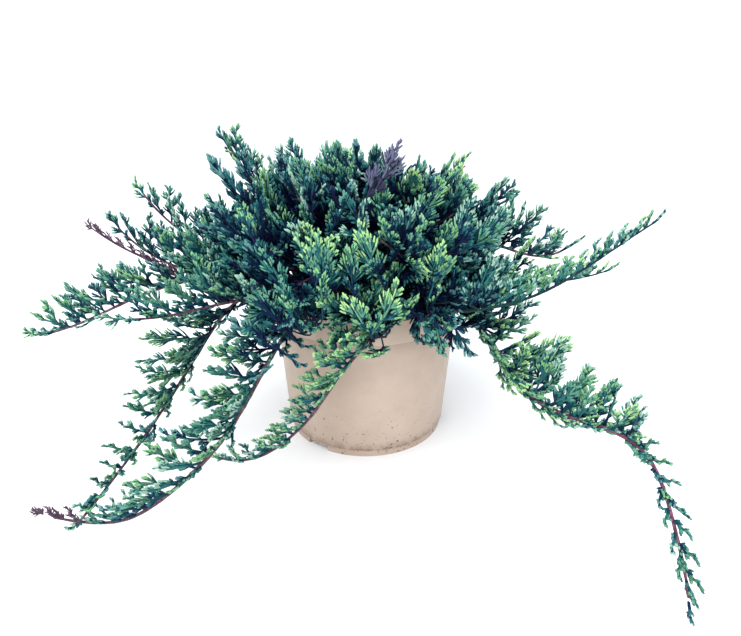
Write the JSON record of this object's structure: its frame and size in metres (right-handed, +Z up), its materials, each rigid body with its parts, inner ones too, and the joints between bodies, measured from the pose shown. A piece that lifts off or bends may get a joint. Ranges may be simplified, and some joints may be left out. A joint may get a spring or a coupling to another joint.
{
  "type": "potted creeping juniper",
  "caption": "Low creeping juniper with dense blue-green scale foliage, long trailing shoots and a short trunk, growing in a plain round tapered nursery pot.",
  "frame": {"origin": "on the pot's axis, in the plane of the pot's underside, where it stands on the floor", "axes": "+Z up along the pot's axis, -Y towards the viewer of the picture, +X to the viewer's right"},
  "size_m": [0.5308, 0.527, 0.2736],
  "materials": {
    "pot_plastic": "smooth matte warm taupe, soiled near the foot",
    "potting_soil": "dark moist compost",
    "bark": "rough red-brown bark",
    "foliage": "matt blue-green scale leaves with yellow-green tips",
    "dry_shoot": "dry purple-brown bare shoot"
  },
  "bodies": {
    "root": {"back_high": "foliage", "back_left": "foliage", "back_left_bough": "bark", "back_left_high": "foliage", "back_middle": "foliage", "back_middle_bough": "bark", "back_right": "foliage", "back_right_bough": "bark", "back_right_high": "foliage", "back_trailing": "foliage", "back_trailing_bough": "bark", "dead_shoot": "dry_shoot", "front_crest": "foliage", "front_fan": "foliage", "front_high": "foliage", "front_left_high": "foliage", "front_left_low": "foliage", "front_left_trailing": "foliage", "front_left_trailing_bough": "bark", "front_left_trailing_lower_bough": "bark", "front_left_trailing_tail": "foliage", "front_low": "foliage", "front_right_fan": "foliage", "front_right_high": "foliage", "front_right_low": "foliage", "front_trailing": "foliage", "front_trailing_bough": "bark", "left_far": "foliage", "left_far_bough": "bark", "left_high": "foliage", "left_level": "foliage", "left_level_bough": "bark", "left_low": "foliage", "left_low_bough": "bark", "left_trailing": "foliage", "left_trailing_bough": "bark", "left_upper": "foliage", "left_wide": "foliage", "left_wide_bough": "bark", "pot": "pot_plastic", "right_crest": "foliage", "right_front_crest": "foliage", "right_front_low": "foliage", "right_high": "foliage", "right_long": "foliage", "right_long_bough": "bark", "right_second": "foliage", "right_second_bough": "bark", "right_trailing": "foliage", "right_trailing_bough": "bark", "right_trailing_lower_bough": "bark", "right_trailing_tail": "foliage", "right_upper": "foliage", "right_upper_bough": "bark", "root_ball": "potting_soil", "top_front": "foliage", "top_left": "foliage", "top_middle": "foliage", "top_right": "foliage", "trunk": "bark"}
  },
  "joints": []
}
